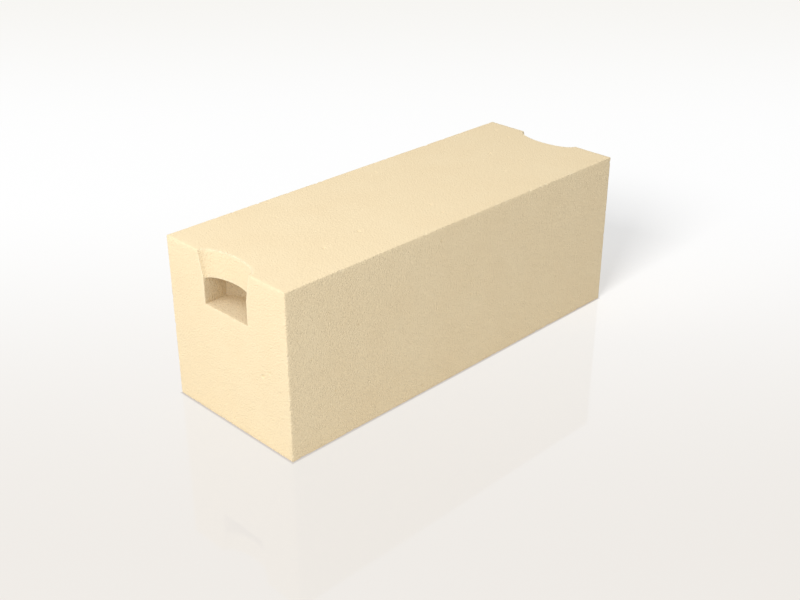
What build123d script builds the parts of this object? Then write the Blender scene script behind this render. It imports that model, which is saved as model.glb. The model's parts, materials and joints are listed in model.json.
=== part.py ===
"""Autoclaved aerated concrete block for thin-joint walls, with a hand grip in each end.

The block is wire-cut from one cake, so it is one solid. It lies on its bed face: the length runs
along X, the wall's thickness along Y and the course height along Z, with the origin at the middle
of the bed face.
"""

import os

from build123d import *

# Driving dimensions, in millimetres

# Block
LENGTH = 600.0
THICKNESS = 222.0
HEIGHT = 224.0
ARRIS_RADIUS = 1.5

# Finger pocket, cut level into each end. Its sides are straight, and its back wall bows inwards.
POCKET_WIDTH = 80.0
POCKET_HEIGHT = 33.0
POCKET_SIDE_DEPTH = 32.0
POCKET_BACK_BOW = 16.0

# Palm relief, a half-elliptic scoop from the top face down to the pocket. It is as wide as the
# pocket at its foot, and what it leaves standing in front of the pocket's back wall is the lip
# that the fingers hook under.
RELIEF_HEIGHT = 35.0
RELIEF_TOP_WIDTH = 96.0
RELIEF_TOP_DEPTH = 20.0
RELIEF_FOOT_DEPTH = 17.0

# Places worked out from the sizes above
POCKET_CEILING = HEIGHT - RELIEF_HEIGHT
POCKET_FLOOR = POCKET_CEILING - POCKET_HEIGHT
POCKET_MIDDLE_DEPTH = POCKET_SIDE_DEPTH + POCKET_BACK_BOW
NEAR_END, FAR_END = -LENGTH / 2, LENGTH / 2


with BuildPart() as block:
    # Wire-cut body
    with BuildSketch() as bed_face:
        Rectangle(LENGTH, THICKNESS)
    extrude(amount=HEIGHT)

    # Worn arrises, rounded before the grips are cut, so that the cuts stay crisp
    fillet(block.edges(), radius=ARRIS_RADIUS)

    for end in (NEAR_END, FAR_END):
        # Pocket, drawn in plan on its floor, with the sketch's x axis running into the block
        with BuildSketch(Plane((end, 0, POCKET_FLOOR), x_dir=(-end, 0, 0))) as pocket_plan:
            with BuildLine():
                mouth = Line((0, -POCKET_WIDTH / 2), (0, POCKET_WIDTH / 2))
                first_side = Line(mouth @ 1, (POCKET_SIDE_DEPTH, POCKET_WIDTH / 2))
                second_side = Line((POCKET_SIDE_DEPTH, -POCKET_WIDTH / 2), mouth @ 0)
                ThreePointArc(first_side @ 1, (POCKET_MIDDLE_DEPTH, 0), second_side @ 0)
            make_face()
        extrude(amount=POCKET_HEIGHT, mode=Mode.SUBTRACT)

        # Relief, lofted between two ellipses whose middles are on the end face
        with BuildSketch(Plane((end, 0, POCKET_CEILING))) as relief_foot:
            Ellipse(RELIEF_FOOT_DEPTH, POCKET_WIDTH / 2)
        with BuildSketch(Plane((end, 0, HEIGHT))) as relief_top:
            Ellipse(RELIEF_TOP_DEPTH, RELIEF_TOP_WIDTH / 2)
        loft(mode=Mode.SUBTRACT)

block.part.label = "block"

os.makedirs("parts", exist_ok=True)
export_step(block.part, "parts/block.step")
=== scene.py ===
"""Looks of an aerated concrete block: its wire-cut surface, and the studio that shows it.

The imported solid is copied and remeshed. Its arrises are rubbed and chipped, gas voids are opened in its
faces, and it gets a procedural finish. Sizes are in millimetres, and MM turns them into Blender's metres.
"""

import itertools
import json
import logging
import math
from dataclasses import dataclass
from enum import Enum

import bpy
import numpy as np
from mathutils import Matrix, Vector, kdtree

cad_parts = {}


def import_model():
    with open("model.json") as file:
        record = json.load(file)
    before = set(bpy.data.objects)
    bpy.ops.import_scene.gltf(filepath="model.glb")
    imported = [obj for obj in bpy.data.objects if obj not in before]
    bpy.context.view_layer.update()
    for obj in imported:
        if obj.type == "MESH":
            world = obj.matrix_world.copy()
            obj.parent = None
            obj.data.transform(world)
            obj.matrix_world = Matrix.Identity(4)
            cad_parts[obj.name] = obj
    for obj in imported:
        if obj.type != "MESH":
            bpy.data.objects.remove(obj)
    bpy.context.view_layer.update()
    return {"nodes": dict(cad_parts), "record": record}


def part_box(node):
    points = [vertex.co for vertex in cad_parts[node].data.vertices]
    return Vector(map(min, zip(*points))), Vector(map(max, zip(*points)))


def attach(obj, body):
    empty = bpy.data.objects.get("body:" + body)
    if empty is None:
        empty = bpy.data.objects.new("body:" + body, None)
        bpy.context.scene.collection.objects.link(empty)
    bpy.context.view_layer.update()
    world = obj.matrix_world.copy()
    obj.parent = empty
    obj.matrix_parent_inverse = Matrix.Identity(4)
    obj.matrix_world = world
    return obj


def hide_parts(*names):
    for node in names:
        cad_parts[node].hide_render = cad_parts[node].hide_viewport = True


LOG = logging.getLogger("aerated_concrete_block")

MM = 0.001

# Sockets of a Mix node that mixes colours. They go by number, because its other kinds use the same names.
MIX_SHARE, MIX_FIRST, MIX_SECOND, MIX_RESULT = 0, 6, 7, 2


def linear(colour: str) -> tuple[float, float, float, float]:
    """Turns an sRGB colour into the linear colour of a socket.

    Args:
        colour: Hex value, such as "#F0DBB5".

    Returns:
        Linear red, green and blue, with an alpha of 1.
    """
    channels = (int(colour[start:start + 2], 16) / 255 for start in (1, 3, 5))
    # The sRGB standard's own curve
    red, green, blue = (c / 12.92 if c <= 0.04045 else ((c + 0.055) / 1.055) ** 2.4 for c in channels)
    return red, green, blue, 1.0


def add_node(
    tree: bpy.types.NodeTree,
    kind: str,
    settings: dict[str, object] | None = None,
    inputs: dict[str | int, object] | None = None,
) -> bpy.types.Node:
    """Adds a node with its settings and links.

    Args:
        tree: Node tree that the node goes into.
        kind: The node's type, such as "ShaderNodeTexNoise".
        settings: Properties of the node, by name.
        inputs: For each input, by name or number, a socket to link from or a plain value.

    Returns:
        The new node.
    """
    node = tree.nodes.new(kind)
    for name, value in (settings or {}).items():
        setattr(node, name, value)
    for name, value in (inputs or {}).items():
        if isinstance(value, bpy.types.NodeSocket):
            tree.links.new(value, node.inputs[name])
        else:
            node.inputs[name].default_value = value
    return node


def new_material(name: str) -> bpy.types.Material:
    """Makes a material with an empty node tree.

    Args:
        name: The material's name.

    Returns:
        The material.
    """
    material = bpy.data.materials.new(name)
    material.use_nodes = True
    material.node_tree.nodes.clear()
    return material


class Detail(Enum):
    """How finely the block is meshed: how many times the cube round it is halved."""

    DRAFT = 8
    FULL = 9


class Mark(Enum):
    """What the mesh says of each of its points: the name of an attribute that the finish reads."""

    CHIPS_AND_HIGHLIGHT = "fresh"
    PAINTED_GRIP_SHADE = "milled"
    GRAIN = "grain"


class LatticeNoise:
    """Smooth noise from a seeded lattice of random numbers, which is turned so that no face lies along it."""

    SIDE = 64

    def __init__(self, seed: int) -> None:
        """Draws the lattice and its turn.

        Args:
            seed: Seed of the random numbers.
        """
        random = np.random.default_rng(seed)
        self._lattice = random.random((self.SIDE, self.SIDE, self.SIDE))
        self._turn = np.linalg.qr(random.normal(size=(3, 3)))[0]

    def sample(self, points: np.ndarray, cell: float) -> np.ndarray:
        """Reads the noise at some points.

        Args:
            points: Places, one a row.
            cell: Edge of a lattice cell, in the points' unit.

        Returns:
            A value from -1 to 1 for each point.
        """
        place = points @ self._turn / cell
        low = np.floor(place).astype(int)
        share = place - low
        share = share * share * (3 - 2 * share)
        total = np.zeros(len(points))
        for corner in itertools.product((0, 1), repeat=3):
            weight = np.where(corner, share, 1 - share).prod(axis=1)
            total += weight * self._lattice[tuple(((low + corner) % self.SIDE).T)]
        return 2 * total - 1


@dataclass(frozen=True)
class WireCutAeratedConcrete:
    """Aerated concrete that a taut wire cut while it was green, hardened in steam.

    The wire tears the small gas pores open and drags sand along, most of all on the long sides. So the eye
    gets a matt, even, sandy cream face, with faint dark specks in the pores and freshly broken, paler spots
    where the arrises are chipped. A pale painted highlight runs along the edges of the hand grips. The grips
    get painted shade, most of all the finger pockets: a darker, greyer colour and darker pores.
    """

    body: str = "#EFD9B1"
    pale_sand: str = "#F4E1BB"
    # Pale colour of freshly chipped spots, and also a painted highlight along the grips' edges
    fresh: str = "#F8E8C6"
    # Painted shade in the hand grips, deepest in the finger pockets
    milled: str = "#DECBA9"
    pore_tint: str = "#EBE5DB"
    roughness: float = 0.92
    ior: float = 1.5
    # Real pores are about 1 mm apart. They are drawn twice as coarse, so that they show in the render.
    pore_spacing: float = 2.2
    # Where a pore's hollow ends and where its wall stands full, as shares of the spacing
    pore_wall: tuple[float, float] = (0.1, 0.5)
    # How dark the pores are, darker still as painted shade in the grips, and how far up their walls that
    # reaches
    pore_shade: float = 0.1
    grip_pore_painted_shade: float = 0.9
    pore_shade_reach: float = 0.8
    # Height of the pores' walls next to the sand's
    pore_height: float = 0.05
    # The crumbs of sand that the wire drags along are about 1 mm across. They too are drawn twice as coarse,
    # all of one size. Their lattice is turned, in degrees, so that no face lies along it.
    sand_size: float = 2.1
    sand_detail: float = 0.0
    sand_turn: tuple[float, float, float] = (35.0, 25.0, 20.0)
    # Faint clouds where the mix is paler
    cloud_size: float = 60.0
    cloud_detail: float = 4.0
    cloud_roughness: float = 0.6

    def material(self) -> bpy.types.Material:
        """Makes the finish, which reads the mesh's marks. Its grain is the depth of the sand, in metres.

        Returns:
            The material.
        """
        material = new_material("wire_cut_aerated_concrete")
        tree = material.node_tree
        place = add_node(tree, "ShaderNodeTexCoord").outputs["Object"]
        marks = {
            mark: add_node(tree, "ShaderNodeAttribute", {"attribute_name": mark.value}).outputs["Fac"]
            for mark in Mark
        }

        # Pores and sand, as one height
        turned = add_node(tree, "ShaderNodeMapping", inputs={
            "Vector": place, "Rotation": [math.radians(turn) for turn in self.sand_turn],
        }).outputs["Vector"]
        sand = add_node(tree, "ShaderNodeTexNoise", inputs={
            "Vector": turned, "Scale": 1 / (self.sand_size * MM), "Detail": self.sand_detail,
        }).outputs["Fac"]
        cells = add_node(tree, "ShaderNodeTexVoronoi", {"feature": "F1"}, {
            "Vector": place, "Scale": 1 / (self.pore_spacing * MM),
        }).outputs["Distance"]
        wall_start, wall_end = self.pore_wall
        wall = add_node(tree, "ShaderNodeMapRange", {"interpolation_type": "SMOOTHSTEP"}, {
            "Value": cells, "From Min": wall_start, "From Max": wall_end,
        }).outputs["Result"]
        height = add_node(tree, "ShaderNodeMath", {"operation": "MULTIPLY_ADD"}, {
            0: wall, 1: self.pore_height, 2: sand,
        }).outputs["Value"]
        bump = add_node(tree, "ShaderNodeBump", inputs={
            "Height": height, "Distance": marks[Mark.GRAIN],
        }).outputs["Normal"]

        # Colour, from clouds in the mix down to single pores, with painted shade in the grips and a painted
        # highlight along their edges
        clouds = add_node(tree, "ShaderNodeTexNoise", inputs={
            "Vector": place, "Scale": 1 / (self.cloud_size * MM),
            "Detail": self.cloud_detail, "Roughness": self.cloud_roughness,
        }).outputs["Fac"]
        cloudy = add_node(tree, "ShaderNodeMix", {"data_type": "RGBA"}, {
            MIX_SHARE: clouds, MIX_FIRST: linear(self.body), MIX_SECOND: linear(self.pale_sand),
        }).outputs[MIX_RESULT]
        # Painted shade in the grips
        cut = add_node(tree, "ShaderNodeMix", {"data_type": "RGBA"}, {
            MIX_SHARE: marks[Mark.PAINTED_GRIP_SHADE], MIX_FIRST: cloudy, MIX_SECOND: linear(self.milled),
        }).outputs[MIX_RESULT]
        # Chipped spots, and a painted highlight along the grips' edges
        broken = add_node(tree, "ShaderNodeMix", {"data_type": "RGBA"}, {
            MIX_SHARE: marks[Mark.CHIPS_AND_HIGHLIGHT], MIX_FIRST: cut, MIX_SECOND: linear(self.fresh),
        }).outputs[MIX_RESULT]
        # Darker pores in the grips, as painted shade
        deepest = add_node(tree, "ShaderNodeMapRange", inputs={
            "Value": marks[Mark.PAINTED_GRIP_SHADE], "To Min": self.pore_shade, "To Max": self.grip_pore_painted_shade,
        }).outputs["Result"]
        shade = add_node(tree, "ShaderNodeMapRange", inputs={
            "Value": wall, "From Max": self.pore_shade_reach, "To Min": deepest, "To Max": 0.0,
        }).outputs["Result"]
        colour = add_node(tree, "ShaderNodeMix", {"data_type": "RGBA", "blend_type": "MULTIPLY"}, {
            MIX_SHARE: shade, MIX_FIRST: broken, MIX_SECOND: linear(self.pore_tint),
        }).outputs[MIX_RESULT]

        surface = add_node(tree, "ShaderNodeBsdfPrincipled", inputs={
            "Base Color": colour, "Roughness": self.roughness, "IOR": self.ior, "Normal": bump,
        }).outputs["BSDF"]
        add_node(tree, "ShaderNodeOutputMaterial", inputs={"Surface": surface})
        return material


@dataclass(frozen=True)
class PolishedStudioFloor:
    """White studio floor of polished acrylic: an even pale ground with a faint mirror image."""

    near: str = "#ECE8E3"
    middle: str = "#FEFEFE"
    far: str = "#F5F3EE"
    rim: str = "#FFFFFF"
    bounce: str = "#D8D8D8"
    # Painted contact shadow at the block's foot
    painted_contact_shadow: str = "#D2CCC7"
    polish: str = "#FFFFFF"
    roughness: float = 0.04
    ior: float = 1.45
    # Where the ground turns from its near colour to the middle one and on to the far one, along the sight
    near_reach: tuple[float, float] = (-480.0, 550.0)
    far_reach: tuple[float, float] = (800.0, 2300.0)
    # Where it fades into the sky, all round
    rim_reach: tuple[float, float] = (2600.0, 5500.0)
    # Width of the painted contact shadow, a dark line where the block meets the floor
    painted_contact_shadow_width: float = 2.0
    # How much of the shown ground is its own even brightness: less of it round the place of the block's
    # shadow, and most of it elsewhere
    even_open: float = 0.92
    even_shaded: float = 0.46
    shade_place: tuple[float, float, float] = (480.0, 20.0, 0.0)
    shade_reach: tuple[float, float] = (150.0, 380.0)

    def material(self, sight: Vector, half: Vector) -> bpy.types.Material:
        """Makes the finish.

        Args:
            sight: Direction on the ground in which the camera looks.
            half: Half the size of the block that stands in the middle, in metres.

        Returns:
            The material.
        """
        material = new_material("polished_white_acrylic")
        tree = material.node_tree
        place = add_node(tree, "ShaderNodeTexCoord").outputs["Object"]
        seen = add_node(tree, "ShaderNodeLightPath").outputs["Is Camera Ray"]

        # Colour of the ground along the sight, plain for the light that it throws back at the block
        along = add_node(tree, "ShaderNodeVectorMath", {"operation": "DOT_PRODUCT"}, {
            0: place, 1: sight,
        }).outputs["Value"]
        reach = add_node(tree, "ShaderNodeVectorMath", {"operation": "LENGTH"}, {0: place}).outputs["Value"]
        colour = linear(self.near)
        for measure, (start, end), later in (
            (along, self.near_reach, self.middle),
            (along, self.far_reach, self.far),
            (reach, self.rim_reach, self.rim),
        ):
            fade = add_node(tree, "ShaderNodeMapRange", {"interpolation_type": "SMOOTHSTEP"}, {
                "Value": measure, "From Min": start * MM, "From Max": end * MM,
            }).outputs["Result"]
            colour = add_node(tree, "ShaderNodeMix", {"data_type": "RGBA"}, {
                MIX_SHARE: fade, MIX_FIRST: colour, MIX_SECOND: linear(later),
            }).outputs[MIX_RESULT]
        colour = add_node(tree, "ShaderNodeMix", {"data_type": "RGBA"}, {
            MIX_SHARE: seen, MIX_FIRST: linear(self.bounce), MIX_SECOND: colour,
        }).outputs[MIX_RESULT]

        # Painted contact shadow: a dark line at the block's foot
        fold = add_node(tree, "ShaderNodeVectorMath", {"operation": "ABSOLUTE"}, {0: place}).outputs["Vector"]
        past = add_node(tree, "ShaderNodeVectorMath", {"operation": "SUBTRACT"}, {
            0: fold, 1: half,
        }).outputs["Vector"]
        sides = add_node(tree, "ShaderNodeSeparateXYZ", inputs={"Vector": past}).outputs
        gap = add_node(tree, "ShaderNodeMath", {"operation": "MAXIMUM"}, {
            0: sides["X"], 1: sides["Y"],
        }).outputs["Value"]
        clear = add_node(tree, "ShaderNodeMapRange", inputs={
            "Value": gap, "From Max": self.painted_contact_shadow_width * MM,
        }).outputs["Result"]
        colour = add_node(tree, "ShaderNodeMix", {"data_type": "RGBA"}, {
            MIX_SHARE: clear, MIX_FIRST: linear(self.painted_contact_shadow), MIX_SECOND: colour,
        }).outputs[MIX_RESULT]
        even = add_node(tree, "ShaderNodeEmission", inputs={"Color": colour}).outputs["Emission"]
        lit = add_node(tree, "ShaderNodeBsdfDiffuse", inputs={"Color": colour}).outputs["BSDF"]

        # The camera sees mostly the even ground. Other rays see it as it is lit.
        away = add_node(tree, "ShaderNodeVectorMath", {"operation": "DISTANCE"}, {
            0: place, 1: Vector(self.shade_place) * MM,
        }).outputs["Value"]
        shade_start, shade_end = self.shade_reach
        share = add_node(tree, "ShaderNodeMapRange", {"interpolation_type": "SMOOTHSTEP"}, {
            "Value": away, "From Min": shade_start * MM, "From Max": shade_end * MM,
            "To Min": self.even_shaded, "To Max": self.even_open,
        }).outputs["Result"]
        evenness = add_node(tree, "ShaderNodeMath", {"operation": "MULTIPLY"}, {
            0: share, 1: seen,
        }).outputs["Value"]
        ground = add_node(tree, "ShaderNodeMixShader", inputs={0: evenness, 1: lit, 2: even}).outputs[0]

        polish = add_node(tree, "ShaderNodeBsdfGlossy", inputs={
            "Color": linear(self.polish), "Roughness": self.roughness,
        }).outputs["BSDF"]
        fresnel = add_node(tree, "ShaderNodeFresnel", inputs={"IOR": self.ior}).outputs["Fac"]
        surface = add_node(tree, "ShaderNodeMixShader", inputs={0: fresnel, 1: ground, 2: polish}).outputs[0]
        add_node(tree, "ShaderNodeOutputMaterial", inputs={"Surface": surface})
        return material


@dataclass
class Block:
    """The block's visible surface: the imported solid, meshed finely and weathered. Sizes in millimetres."""

    node: bpy.types.Object
    detail: Detail
    # Lowest and highest corners of the spaces that the hand grips keep free
    pockets: list[np.ndarray]
    reliefs: list[np.ndarray]
    finish: WireCutAeratedConcrete = WireCutAeratedConcrete()
    # How much of the cube that is halved for the mesh the block fills
    mesh_fill: float = 0.99
    triangle_budget: int = 190_000
    # Sharpest bend that is shaded smooth, in degrees
    crisp_angle: float = 40.0

    # The wire's wander over a face, and the sand that stands out of it
    wander_depth: float = 0.15
    wander_cell: float = 30.0
    sand_depth: float = 0.2
    sand_cell: float = 3.6

    # Rubbing along the arrises, and the chips in them. A point is on an arris if it stands out of its
    # neighbours by the curl.
    arris_curl: float = 0.12
    arris_spread: int = 3
    rub_depth: float = 0.5
    rub_spread: float = 0.1
    rub_cell: float = 5.0
    chip_depth: float = 1.2
    chip_cell: float = 6.0
    chip_level: float = 0.42
    # How much of the chipping the cutter's edges round the grips take, and how strong the painted highlight
    # along those edges is
    grip_chips: float = 0.15
    grip_edge_painted_highlight: float = 0.8
    # How much painted shade a relief gets, next to a pocket
    relief_painted_shade: float = 0.12

    # Depth of the sand's grain on the ends, on the long sides and on the bed faces, and in the hand grips
    grain: tuple[float, float, float] = (0.8, 1.4, 0.7)
    pocket_grain: float = 1.15
    relief_grain: float = 0.8

    # How far the walls of a grip lie outside the space that it keeps free, and how near the faces they start
    pocket_margin: tuple[float, float, float] = (14.0, 1.2, 1.2)
    relief_margin: tuple[float, float, float] = (8.0, 15.0, 1.2)
    grip_skin: float = 0.8

    # Larger gas voids that the cut opened, and one that shows low on the near end
    void_count: int = 120
    void_radius: tuple[float, float] = (1.0, 2.2)
    void_depth: float = 0.7
    large_void: tuple[float, float, float] = (-300.0, -63.7, 98.5)
    large_void_radius: float = 2.8
    seed: int = 11

    def build(self) -> bpy.types.Object:
        """Makes the weathered mesh and dresses it.

        Returns:
            The piece that stands for the node.
        """
        piece = bpy.data.objects.new("wire_cut_block", self.node.data.copy())
        bpy.context.scene.collection.objects.link(piece)
        self._remesh(piece)
        self._weather(piece.data)
        self._thin(piece)
        self._dress(piece)
        return piece

    def _remesh(self, piece: bpy.types.Object) -> None:
        """Turns long facets into an even mesh that keeps the crisp edges of the grips.

        Args:
            piece: The piece, whose mesh is changed.
        """
        cells = piece.modifiers.new("cells", "REMESH")
        cells.mode = "SHARP"
        cells.octree_depth = self.detail.value
        cells.scale = self.mesh_fill
        cells.use_remove_disconnected = False
        apply_modifiers(piece)

    def _weather(self, mesh: bpy.types.Mesh) -> None:
        """Moves the mesh's points inwards: wire wander, sand, rubbed arrises, chips and voids.

        Args:
            mesh: Even mesh of the block, which is changed.
        """
        places = read_vectors(mesh.vertices, "co") / MM
        normals = read_vectors(mesh.vertex_normals, "vector")
        edges = np.empty(2 * len(mesh.edges), dtype=np.int32)
        mesh.edges.foreach_get("vertices", edges)
        arris = self._arris(places, normals, edges.reshape(-1, 2))

        # The grips: painted shade on their walls, the grain that the cutter leaves, and their edges
        pocket = self._within(places, self.pockets, self.pocket_margin)
        relief = self._within(places, self.reliefs, self.relief_margin)
        # Painted shade: full in the pockets, faint on the reliefs
        milled = np.where(pocket, 1, self.relief_painted_shade * relief)
        grain = np.abs(normals) @ self.grain
        grain[relief] = self.relief_grain
        grain[pocket] = self.pocket_grain
        near_grip = inside(places, self.pockets + self.reliefs, self.relief_margin)

        # How far each point sinks
        wander, sand, rub, chip = (LatticeNoise(self.seed + step) for step in range(4))
        depth = self.wander_depth * (1 + wander.sample(places, self.wander_cell)) / 2
        depth += self.sand_depth * (1 + sand.sample(places, self.sand_cell)) / 2
        depth += self.rub_depth * arris * (1 - self.rub_spread * (1 - rub.sample(places, self.rub_cell)))
        broken = np.clip(chip.sample(places, self.chip_cell) - self.chip_level, 0, None)
        chipped = arris * np.where(near_grip, self.grip_chips, 1) * broken / (1 - self.chip_level)
        depth += self.chip_depth * chipped
        # Paler colour of the chips, and a painted highlight along the grips' edges
        fresh = np.maximum(chipped, self.grip_edge_painted_highlight * arris * near_grip)
        depth += self._voids(places)

        places -= normals * depth[:, None]
        mesh.vertices.foreach_set("co", (places * MM).ravel())
        for mark, values in ((Mark.CHIPS_AND_HIGHLIGHT, fresh), (Mark.PAINTED_GRIP_SHADE, milled), (Mark.GRAIN, grain * MM)):
            attribute = mesh.attributes.new(mark.value, "FLOAT", "POINT")
            attribute.data.foreach_set("value", values.astype(np.float32))
        mesh.update()

    def _arris(self, places: np.ndarray, normals: np.ndarray, edges: np.ndarray) -> np.ndarray:
        """Finds the points on or beside an outer edge.

        Args:
            places: The mesh's points.
            normals: Their normals.
            edges: The mesh's edges, as pairs of points.

        Returns:
            For each point a value from 0, on a face, to 1, on an arris.
        """
        curl = ((places - neighbour_mean(places, edges)) * normals).sum(axis=1)
        arris = np.clip(curl / self.arris_curl, 0, 1)
        for _ in range(self.arris_spread):
            arris = np.maximum(arris, neighbour_mean(arris[:, None], edges)[:, 0])
        return arris

    def _within(
        self, places: np.ndarray, boxes: list[np.ndarray], margin: tuple[float, float, float],
    ) -> np.ndarray:
        """Finds the points on the walls of a grip.

        Args:
            places: The mesh's points.
            boxes: Lowest and highest corners of the spaces that the grips keep free.
            margin: How far the walls lie outside those spaces.

        Returns:
            For each point whether it is on such a wall.
        """
        reach = np.abs(places).max(axis=0) - self.grip_skin
        sunk = (np.abs(places) < reach).all(axis=1)
        return sunk & inside(places, boxes, margin)

    def _voids(self, places: np.ndarray) -> np.ndarray:
        """Opens round voids: the one that is placed, and others at random points.

        Args:
            places: The mesh's points.

        Returns:
            How far each point sinks.
        """
        random = np.random.default_rng(self.seed)
        tree = kdtree.KDTree(len(places))
        for index, place in enumerate(places):
            tree.insert(place, index)
        tree.balance()
        voids = [(self.large_void, self.large_void_radius)]
        for centre in random.choice(len(places), self.void_count, replace=False):
            voids.append((places[centre], random.uniform(*self.void_radius)))
        depth = np.zeros(len(places))
        for centre, radius in voids:
            for _, index, distance in tree.find_range(centre, radius):
                depth[index] = self.void_depth * radius * (1 - (distance / radius) ** 2)
        return depth

    def _thin(self, piece: bpy.types.Object) -> None:
        """Merges triangles where the surface is flat, down to the budget.

        Args:
            piece: The piece, whose mesh is changed.
        """
        triangles = sum(len(polygon.vertices) - 2 for polygon in piece.data.polygons)
        if triangles > self.triangle_budget:
            thinning = piece.modifiers.new("thinning", "DECIMATE")
            thinning.ratio = self.triangle_budget / triangles
            apply_modifiers(piece)

    def _dress(self, piece: bpy.types.Object) -> None:
        """Gives a piece its finish, and puts it in the node's place.

        Args:
            piece: The piece, with its final mesh.
        """
        piece.data.shade_smooth()
        piece.data.set_sharp_from_angle(angle=math.radians(self.crisp_angle))
        piece.data.materials.clear()
        piece.data.materials.append(self.finish.material())
        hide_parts("block")
        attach(piece, "root")


def apply_modifiers(piece: bpy.types.Object) -> None:
    """Turns what a piece's modifiers show into its mesh.

    Args:
        piece: The piece, which is left with no modifiers.
    """
    graph = bpy.context.evaluated_depsgraph_get()
    mesh = bpy.data.meshes.new_from_object(piece.evaluated_get(graph))
    piece.modifiers.clear()
    piece.data = mesh


def inside(
    places: np.ndarray, boxes: list[np.ndarray], margin: tuple[float, float, float],
) -> np.ndarray:
    """Finds the points inside any of some boxes.

    Args:
        places: Points, one a row.
        boxes: Lowest and highest corners.
        margin: How far each box is let out.

    Returns:
        For each point whether a box holds it.
    """
    held = np.zeros(len(places), dtype=bool)
    for low, high in boxes:
        held |= ((places > low - margin) & (places < high + margin)).all(axis=1)
    return held


def read_vectors(items: bpy.types.bpy_prop_collection, name: str) -> np.ndarray:
    """Reads a vector from each item of a mesh's list.

    Args:
        items: The list, such as the mesh's vertices.
        name: Name of the vector in each item.

    Returns:
        An array with a row for each item.
    """
    values = np.empty(3 * len(items), dtype=np.float32)
    items.foreach_get(name, values)
    return values.reshape(-1, 3).astype(float)


def neighbour_mean(values: np.ndarray, edges: np.ndarray) -> np.ndarray:
    """Averages the values of each point's neighbours.

    Args:
        values: A row of values for each point.
        edges: Pairs of neighbouring points.

    Returns:
        The mean row of each point's neighbours.
    """
    first, second = edges.T
    size = len(values)
    count = np.bincount(first, minlength=size) + np.bincount(second, minlength=size)
    sums = [
        np.bincount(first, column[second], size) + np.bincount(second, column[first], size)
        for column in values.T
    ]
    return np.stack(sums, axis=1) / np.maximum(count, 1)[:, None]


@dataclass(frozen=True)
class SoftBox:
    """A large square lamp that points at the block and lights one thing only, in millimetres and degrees."""

    name: str
    azimuth: float
    elevation: float
    distance: float
    edge: float
    watts: float
    colour: str = "#FFFFFF"
    # Whether it shows in polished things
    mirrored: bool = True

    def build(self, target: Vector, lit: bpy.types.Object) -> bpy.types.Object:
        """Makes the lamp.

        Args:
            target: Point that it points at, in metres.
            lit: The object that it lights.

        Returns:
            The lamp.
        """
        lamp = bpy.data.lights.new(self.name, "AREA")
        lamp.shape = "SQUARE"
        lamp.size = self.edge * MM
        lamp.energy = self.watts
        lamp.color = linear(self.colour)[:3]
        holder = bpy.data.objects.new(self.name, lamp)
        towards = direction(self.azimuth, self.elevation)
        holder.location = target + towards * self.distance * MM
        holder.rotation_euler = towards.to_track_quat("Z", "Y").to_euler()
        bpy.context.scene.collection.objects.link(holder)
        receivers = bpy.data.collections.new(f"lit_by_{self.name}")
        receivers.objects.link(lit)
        holder.light_linking.receiver_collection = receivers
        holder.visible_glossy = self.mirrored
        return holder


def direction(azimuth: float, elevation: float) -> Vector:
    """Points from the block to a place round it: azimuth 0 is towards -Y and 90 towards +X, in degrees."""
    turn, rise = math.radians(azimuth), math.radians(elevation)
    return Vector((math.sin(turn) * math.cos(rise), -math.cos(turn) * math.cos(rise), math.sin(rise)))


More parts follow.
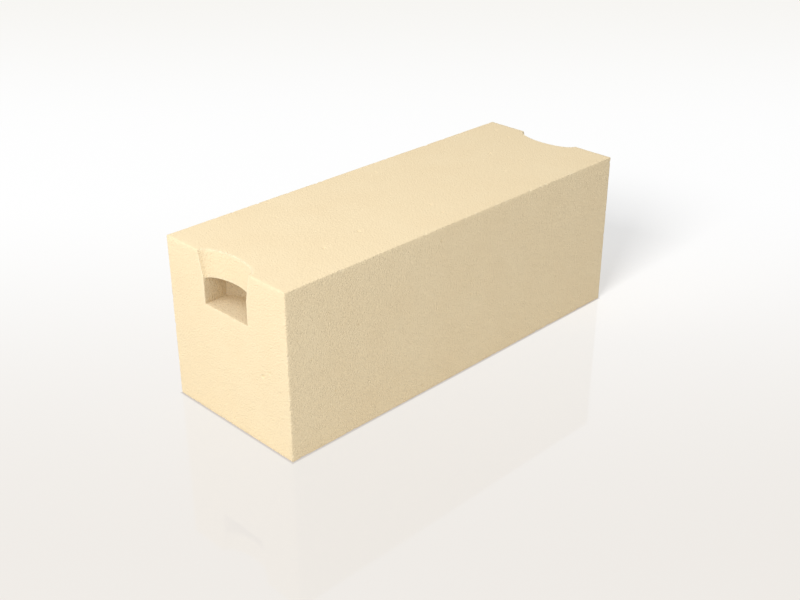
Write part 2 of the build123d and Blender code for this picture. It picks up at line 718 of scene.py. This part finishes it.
@dataclass
class Studio:
    """The floor, the light and the camera, in millimetres and degrees."""

    floor_radius: float = 6000.0
    floor_drop: float = 0.1
    floor_sides: int = 96
    floor_finish: PolishedStudioFloor = PolishedStudioFloor()
    # How strongly the sky lights things, and how strong it looks
    sky_colour: str = "#FFFFFF"
    sky_light: float = 0.53
    sky_shown: float = 1.0
    # The floor has a lower lamp of its own, which casts the block's shadow further
    block_lamp: SoftBox = SoftBox("block_softbox", -84.0, 49.0, distance=2200.0, edge=2400.0, watts=42.0)
    floor_lamp: SoftBox = SoftBox(
        "floor_softbox", -74.0, 34.0, distance=4500.0, edge=1700.0, watts=240.0, mirrored=False,
    )

    camera_azimuth: float = -45.0
    camera_elevation: float = 27.344
    camera_place: tuple[float, float, float] = (-1004.47, -993.48, 796.36)
    camera_focal_pixels: float = 1159.5
    picture_width: int = 800

    def build(self, block: bpy.types.Object, low: Vector, high: Vector) -> None:
        """Makes the whole studio.

        Args:
            block: The block's visible piece.
            low: Lowest corner of the block.
            high: Its highest corner.
        """
        target = (low + high) / 2
        self._set_colours()
        self._build_sky()
        floor = self._build_floor((high - low) / 2)
        self.block_lamp.build(target, block)
        self.floor_lamp.build(target, floor)
        self._build_camera()

    def _set_colours(self) -> None:
        """Has a colour render about as it is written."""
        bpy.context.scene.view_settings.view_transform = "Standard"

    def _build_sky(self) -> None:
        """Makes a sky that lights softly, and that the camera and the polish see as white."""
        world = bpy.data.worlds.new("studio_sky")
        world.use_nodes = True
        tree = world.node_tree
        tree.nodes.clear()
        path = add_node(tree, "ShaderNodeLightPath").outputs
        seen = path["Is Camera Ray"]
        for kind in ("Is Glossy Ray", "Is Transmission Ray"):
            seen = add_node(tree, "ShaderNodeMath", {"operation": "MAXIMUM"}, {
                0: seen, 1: path[kind],
            }).outputs["Value"]
        strength = add_node(tree, "ShaderNodeMapRange", inputs={
            "Value": seen, "To Min": self.sky_light, "To Max": self.sky_shown,
        }).outputs["Result"]
        sky = add_node(tree, "ShaderNodeBackground", inputs={
            "Color": linear(self.sky_colour), "Strength": strength,
        }).outputs["Background"]
        add_node(tree, "ShaderNodeOutputWorld", inputs={"Surface": sky})
        bpy.context.scene.world = world

    def _build_floor(self, half: Vector) -> bpy.types.Object:
        """Lays a round floor just under the block.

        Args:
            half: Half the size of the block, in metres.

        Returns:
            The floor.
        """
        turns = [2 * math.pi * side / self.floor_sides for side in range(self.floor_sides)]
        radius, level = self.floor_radius * MM, -self.floor_drop * MM
        rim = [(radius * math.cos(turn), radius * math.sin(turn), level) for turn in turns]
        mesh = bpy.data.meshes.new("studio_floor")
        mesh.from_pydata(rim, [], [range(self.floor_sides)])
        sight = -direction(self.camera_azimuth, 0)
        mesh.materials.append(self.floor_finish.material(sight, half))
        floor = bpy.data.objects.new("studio_floor", mesh)
        bpy.context.scene.collection.objects.link(floor)
        return floor

    def _build_camera(self) -> None:
        """Puts the camera where the reference picture was taken from."""
        lens = bpy.data.cameras.new("camera")
        lens.lens = lens.sensor_width * self.camera_focal_pixels / self.picture_width
        camera = bpy.data.objects.new("camera", lens)
        camera.location = Vector(self.camera_place) * MM
        back = direction(self.camera_azimuth, self.camera_elevation)
        camera.rotation_euler = back.to_track_quat("Z", "Y").to_euler()
        bpy.context.scene.collection.objects.link(camera)
        bpy.context.scene.camera = camera


def main() -> None:
    logging.basicConfig(level=logging.INFO, format="%(name)s: %(message)s")
    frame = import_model()

    detail = Detail.FULL
    openings = frame["record"]["physics"]["openings"]
    pockets, reliefs = (
        [np.array(opening["box_m"]) / MM for opening in openings if opening["name"].startswith(kind)]
        for kind in ("finger_pocket", "palm_relief")
    )
    block = Block(frame["nodes"]["block"], detail, pockets, reliefs).build()
    LOG.info("%s: %d faces", block.name, len(block.data.polygons))

    Studio().build(block, *(Vector(corner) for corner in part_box("block")))
    LOG.info("studio: floor, sky, lamps and camera")


if __name__ == "__main__":
    main()
